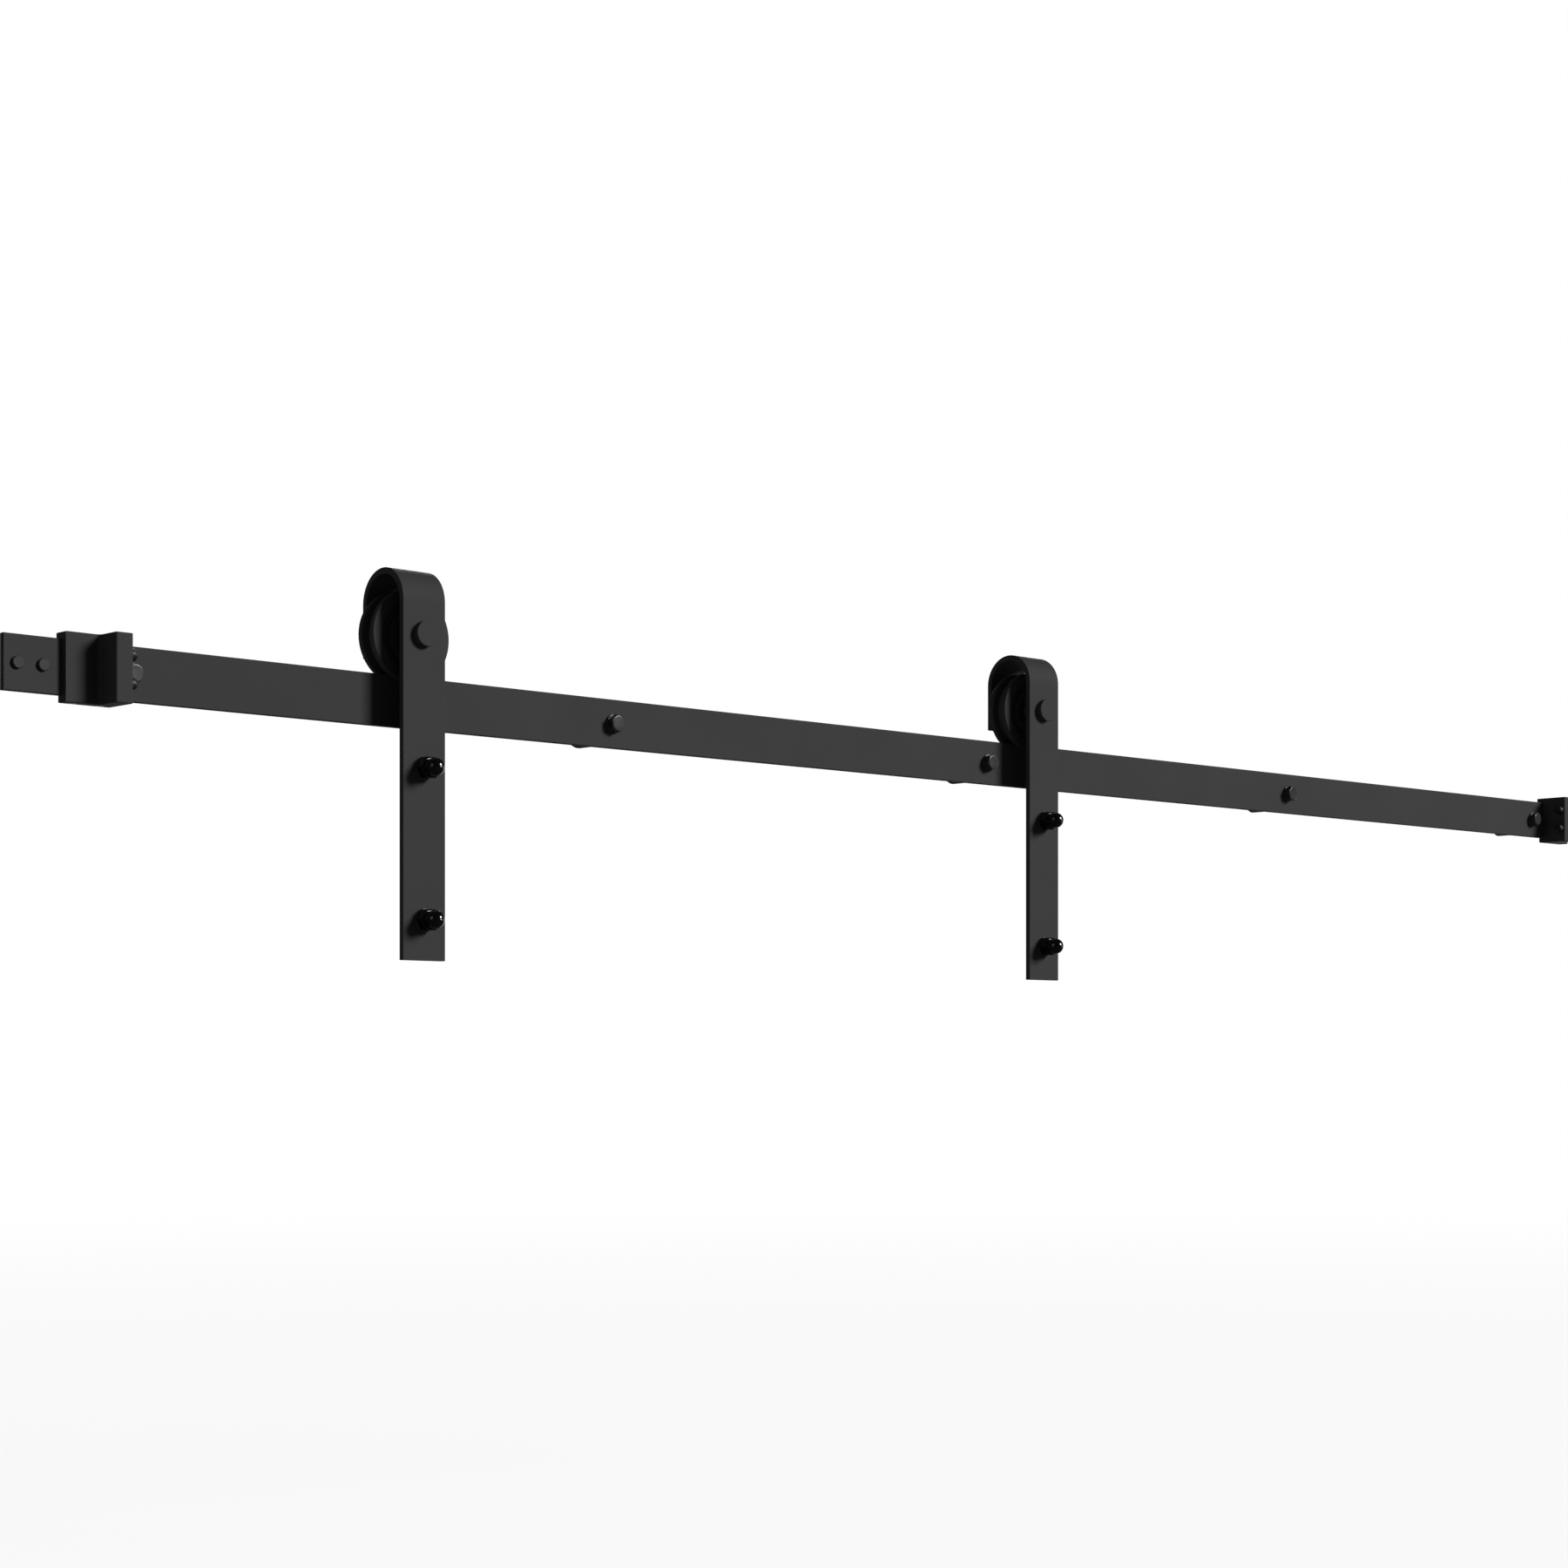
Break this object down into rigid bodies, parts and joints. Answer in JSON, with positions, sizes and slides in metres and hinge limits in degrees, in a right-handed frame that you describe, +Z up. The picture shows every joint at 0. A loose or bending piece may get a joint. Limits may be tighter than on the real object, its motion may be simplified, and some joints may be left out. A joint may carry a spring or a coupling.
{
  "type": "sliding barn door hardware",
  "caption": "Flat wall rail on spacers with grooved-wheel J strap hangers that roll along it and carry a sliding door leaf between bumpered end stops.",
  "frame": {"origin": "axis of the middle wall screw on the wall plane, which is the back face of the spacers", "axes": "+X along the rail to the right as seen from the room, +Y into the wall, +Z up"},
  "size_m": [2, 0.1431, 0.3025],
  "materials": {
    "black_coat": "matte black powder coat",
    "black_fastener": "black semi gloss coated steel",
    "black_gloss": "glossy black coated steel",
    "stud_steel": "dark zinc plated steel",
    "bearing_steel": "ground bearing steel with dark seals",
    "bumper_rubber": "black rubber",
    "plug_plastic": "black plastic"
  },
  "bodies": {
    "root": {"rail": "black_coat", "spacers": "black_coat", "wall_screws": "black_fastener", "screw_washers": "black_fastener", "joint_hole_plugs": "plug_plastic", "left_stop": "black_coat", "left_stop_bumpers": "bumper_rubber", "left_stop_screws": "black_fastener", "right_stop": "black_coat", "right_stop_bumpers": "bumper_rubber", "right_stop_screws": "black_fastener"},
    "left_hanger": {"left_strap": "black_coat", "left_axle_bolt": "black_coat", "left_axle_bushes": "black_coat", "left_axle_washer": "black_fastener", "left_axle_nut": "black_fastener", "left_bearing_inner_ring": "bearing_steel", "left_door_studs": "stud_steel", "left_door_washers": "black_fastener", "left_cap_nuts": "black_gloss"},
    "left_wheel_body": {"left_wheel": "black_coat", "left_bearing_outer_ring": "bearing_steel"},
    "right_hanger": {"right_strap": "black_coat", "right_axle_bolt": "black_coat", "right_axle_bushes": "black_coat", "right_axle_washer": "black_fastener", "right_axle_nut": "black_fastener", "right_bearing_inner_ring": "bearing_steel", "right_door_studs": "stud_steel", "right_door_washers": "black_fastener", "right_cap_nuts": "black_gloss"},
    "right_wheel_body": {"right_wheel": "black_coat", "right_bearing_outer_ring": "bearing_steel"}
  },
  "joints": [
    {"name": "left_hanger_slide", "type": "slide", "parent": "root", "child": "left_hanger", "axis": [1, 0, 0], "range_m": [-0.2294, 0.8456]},
    {"name": "right_hanger_slide", "type": "slide", "parent": "root", "child": "right_hanger", "axis": [1, 0, 0], "range_m": [-0.2294, 0.8456]},
    {"name": "left_wheel_roll", "type": "hinge", "parent": "left_hanger", "child": "left_wheel_body", "pos_m": [-0.658, -0.043, 0.0503], "axis": [0, 1, 0], "continuous": true},
    {"name": "right_wheel_roll", "type": "hinge", "parent": "right_hanger", "child": "right_wheel_body", "pos_m": [0.051, -0.043, 0.0503], "axis": [0, 1, 0], "continuous": true}
  ],
  "couplings": [
    {"joint": "right_hanger_slide", "follows": "left_hanger_slide", "ratio": 1},
    {"joint": "left_wheel_roll", "follows": "left_hanger_slide", "rad_per_m": 33.333},
    {"joint": "right_wheel_roll", "follows": "left_hanger_slide", "rad_per_m": 33.333}
  ]
}
